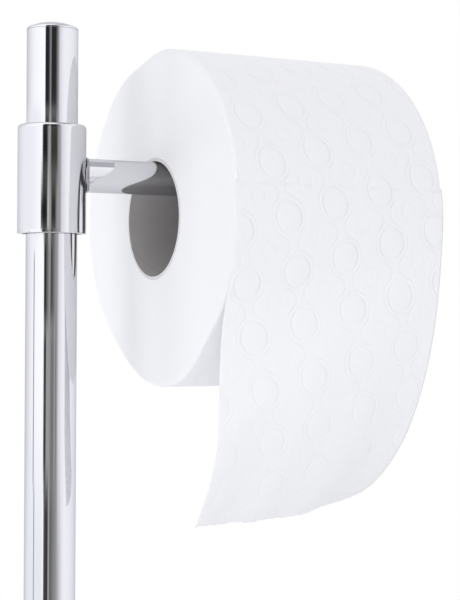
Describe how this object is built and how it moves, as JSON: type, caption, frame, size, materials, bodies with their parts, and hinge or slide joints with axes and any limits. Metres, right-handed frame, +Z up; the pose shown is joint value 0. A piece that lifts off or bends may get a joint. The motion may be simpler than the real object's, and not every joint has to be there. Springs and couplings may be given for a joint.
{
  "type": "toilet butler stand",
  "caption": "Free-standing chrome post on a weighted round base, with a sliding, turning arm that holds a paper roll and a lidded brush in a cup beside the post.",
  "frame": {"origin": "on the floor under the post's axis, in the middle of the base pad's flat underside", "axes": "+Z up along the post; +X along the arm, away from the post; -Y is the side where the end of the paper hangs; the brush cup is on the -X side"},
  "size_m": [0.2585, 0.22, 0.7022],
  "materials": {
    "chrome": "polished chrome plate",
    "steel": "plain zinc-grey steel",
    "iron": "rough cast, painted dark",
    "rubber": "matte",
    "nylon": "natural nylon",
    "white_plastic": "smooth moulded",
    "bristle_fibre": "white bristle",
    "paper": "soft embossed tissue",
    "board": "grey board"
  },
  "bodies": {
    "stand": {"base_pad": "rubber", "base_weight": "iron", "base_cover": "chrome", "base_washer": "steel", "base_bolt": "steel", "post_flange": "chrome", "post_foot_plug": "steel", "lower_post": "chrome", "post_joiner": "chrome", "upper_post": "chrome", "post_cap": "chrome", "cup_disc": "rubber"},
    "slider": {"collar_bush": "nylon"},
    "holder": {"collar": "chrome", "set_screw": "steel", "arm_seat": "steel", "arm": "chrome", "arm_cap": "chrome"},
    "roll_carrier": {"hanging_sheet": "paper"},
    "roll": {"roll_core": "board", "paper_roll": "paper"},
    "cup": {"brush_cup": "chrome"},
    "liner": {"cup_liner": "white_plastic"},
    "brush": {"brush_lid": "chrome", "handle_ferrule": "chrome", "brush_handle": "chrome", "handle_cap": "chrome", "brush_rod": "steel", "brush_hub": "white_plastic", "bristles": "bristle_fibre"}
  },
  "joints": [
    {"name": "holder_height", "type": "slide", "parent": "stand", "child": "slider", "axis": [0, 0, 1], "range_m": [-0.2, 0.03]},
    {"name": "holder_swivel", "type": "hinge", "parent": "slider", "child": "holder", "pos_m": [0, 0, 0.6441], "axis": [0, 0, 1], "range_deg": [-90, 90]},
    {"name": "roll_slide", "type": "slide", "parent": "holder", "child": "roll_carrier", "axis": [1, 0, 0], "range_m": [-0.026, 0.112]},
    {"name": "roll_spin", "type": "hinge", "parent": "roll_carrier", "child": "roll", "pos_m": [0.0865, 0, 0.63075], "axis": [1, 0, 0], "continuous": true},
    {"name": "cup_lift", "type": "slide", "parent": "stand", "child": "cup", "axis": [0, 0, 1], "range_m": [0, 0.03]},
    {"name": "liner_lift", "type": "slide", "parent": "cup", "child": "liner", "axis": [0, 0, 1], "range_m": [0, 0.13]},
    {"name": "brush_lift", "type": "slide", "parent": "liner", "child": "brush", "axis": [0, 0, 1], "range_m": [0, 0.13]}
  ]
}
